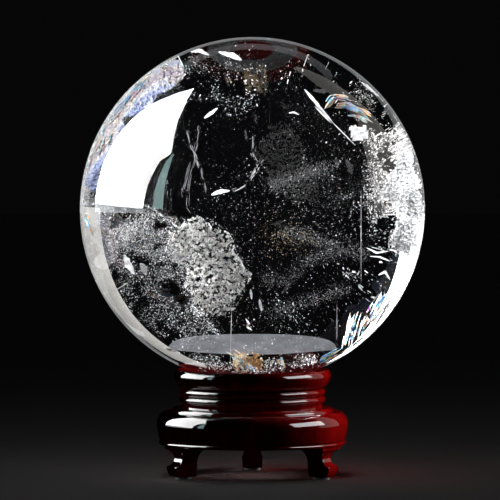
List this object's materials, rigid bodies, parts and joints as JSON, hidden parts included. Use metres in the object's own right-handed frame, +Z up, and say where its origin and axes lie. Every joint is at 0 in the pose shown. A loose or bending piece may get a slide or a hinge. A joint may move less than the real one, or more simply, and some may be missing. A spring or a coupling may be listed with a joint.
{
  "type": "crystal ball on a turned stand",
  "caption": "Polished rock-crystal sphere full of natural flaws, resting in the cup of a red-lacquered turned wooden stand with a beaded collar and small carved feet.",
  "frame": {"origin": "on the stand's axis, on the table the feet stand on", "axes": "+Z up along the stand's axis, -Y to the front, where two of the feet point to the left and the right of it"},
  "size_m": [0.1, 0.1, 0.1274],
  "materials": {
    "rock_crystal": "polished",
    "clear_silicone": "satin",
    "red_lacquer": "high gloss lacquer",
    "beech": "bare",
    "felt": "napped",
    "zinced_steel": "bright"
  },
  "bodies": {
    "stand": {"collar": "red_lacquer", "base_disc": "red_lacquer", "foot_front_left": "red_lacquer", "foot_front_right": "red_lacquer", "foot_rear": "red_lacquer", "foot_dowel_front_left": "beech", "foot_dowel_front_right": "beech", "foot_dowel_rear": "beech", "foot_pad_front_left": "felt", "foot_pad_front_right": "felt", "foot_pad_rear": "felt", "collar_screw_1": "zinced_steel", "collar_screw_2": "zinced_steel", "collar_screw_3": "zinced_steel"},
    "cushion": {"cushion_ring": "clear_silicone"},
    "ball": {"crystal_ball": "rock_crystal"}
  },
  "joints": [
    {"name": "ball_turn", "type": "hinge", "parent": "stand", "child": "cushion", "pos_m": [0, 0, 0.028], "axis": [0, 0, 1], "continuous": true},
    {"name": "ball_lift", "type": "slide", "parent": "cushion", "child": "ball", "axis": [0, 0, 1], "range_m": [0, 0.06]}
  ]
}
